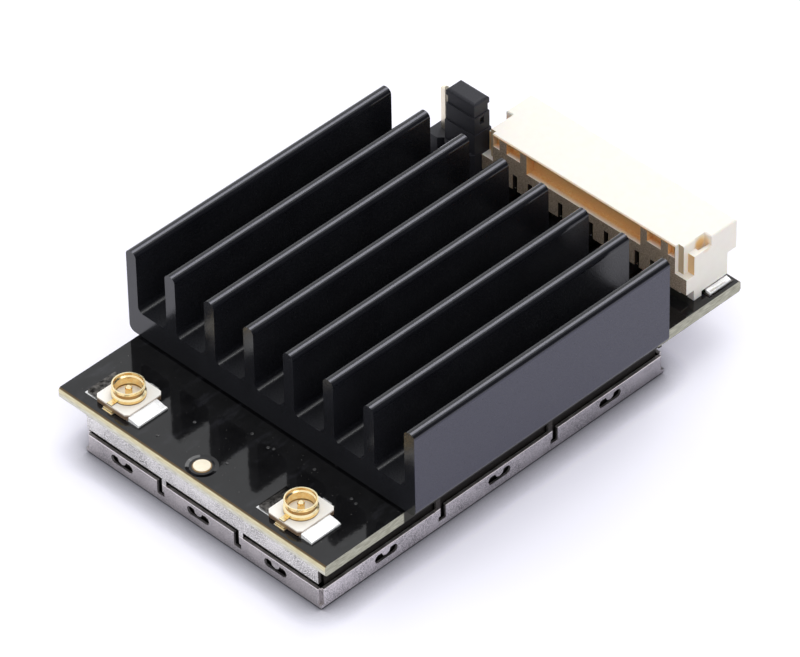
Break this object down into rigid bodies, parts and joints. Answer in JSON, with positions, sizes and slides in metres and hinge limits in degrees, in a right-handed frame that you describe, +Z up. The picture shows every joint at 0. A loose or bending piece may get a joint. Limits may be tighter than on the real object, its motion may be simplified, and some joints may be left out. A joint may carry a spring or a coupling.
{
  "type": "telemetry radio modem",
  "caption": "Telemetry radio modem: circuit board with a finned heatsink on top, coax receptacles at the front, a wire connector and jumper at the rear and a shield can below.",
  "frame": {"origin": "middle of the whole part at the level of the shield lid's outer face", "axes": "+X across the board to the right, +Y along the fins toward the wire connector, +Z up out of the heatsink"},
  "size_m": [0.0236, 0.0348, 0.0101],
  "materials": {
    "heatsink_aluminium": "matte black anodised, fine draw lines",
    "can_nickel_silver": "rolled sheet, half-gloss",
    "board_mask": "glossy black solder mask over glass fibre",
    "heat_tape": "soft grey heat-conducting tape",
    "gold_plate": "gold plated, half-gloss",
    "tin_plate": "bright tin",
    "cream_nylon": "moulded, slightly translucent",
    "white_moulding": "moulded, satin",
    "black_moulding": "moulded, fine grain",
    "chip_resin": "moulded resin, matte",
    "crystal_metal": "seam-welded metal lid",
    "filter_ceramic": "fired ceramic",
    "capacitor_ceramic": "fired ceramic, tan",
    "resistor_ceramic": "coated ceramic, black",
    "inductor_core": "pressed iron powder, dark grey"
  },
  "bodies": {
    "root": {"circuit_board": "board_mask", "thermal_tape": "heat_tape", "heatsink": "heatsink_aluminium", "shield_lid": "can_nickel_silver", "shield_frame": "can_nickel_silver", "coax_lands": "tin_plate", "alignment_pad": "gold_plate", "coax_left_base": "white_moulding", "coax_left_ring": "gold_plate", "coax_left_pin": "gold_plate", "coax_right_base": "white_moulding", "coax_right_ring": "gold_plate", "coax_right_pin": "gold_plate", "connector_lands": "tin_plate", "connector_contacts": "tin_plate", "connector_nails": "tin_plate", "connector_housing": "cream_nylon", "header_body": "black_moulding", "header_pins": "gold_plate", "header_joints": "tin_plate", "jumper_cap": "black_moulding", "jumper_clip": "gold_plate", "power_amplifier": "chip_resin", "radio_transceiver": "chip_resin", "controller_chip": "chip_resin", "memory_chip": "chip_resin", "voltage_regulator": "chip_resin", "reference_crystal": "crystal_metal", "band_filters": "filter_ceramic", "antenna_switches": "chip_resin", "power_inductors": "inductor_core", "chip_capacitors": "capacitor_ceramic", "chip_resistors": "resistor_ceramic", "chip_ends": "tin_plate", "chip_terminals": "tin_plate"}
  },
  "joints": []
}
